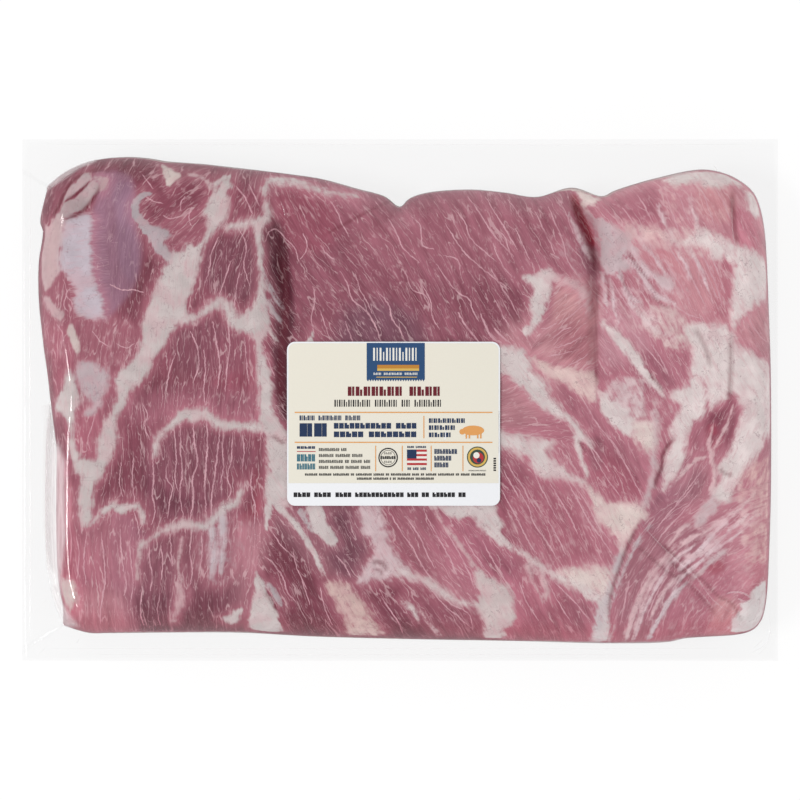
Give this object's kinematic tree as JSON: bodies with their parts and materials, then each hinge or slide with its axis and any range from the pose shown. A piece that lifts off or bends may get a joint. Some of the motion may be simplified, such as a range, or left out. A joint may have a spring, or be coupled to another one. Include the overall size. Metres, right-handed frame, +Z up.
{
  "type": "vacuum-packed pork belly slab",
  "caption": "Skinless marbled pork belly slab sealed in a clear vacuum bag with a flat welded margin, lying label side up on its flat base",
  "frame": {"origin": "on the table under the middle of the pack, at the bottom centre of its bounding box", "axes": "+X along the pack's long side to the right of the label, +Y across the pack towards the label's top, +Z up"},
  "size_m": [0.3, 0.207, 0.0377],
  "materials": {
    "clear_film": "clear glossy vacuum film, drawn tight",
    "raw_pork": "moist raw pork, red-pink lean with white fat marbling",
    "label_paper": "semi-gloss printed sticker, cream with bars of colour"
  },
  "bodies": {
    "root": {"vacuum_bag": "clear_film", "label": "label_paper"}
  },
  "joints": []
}
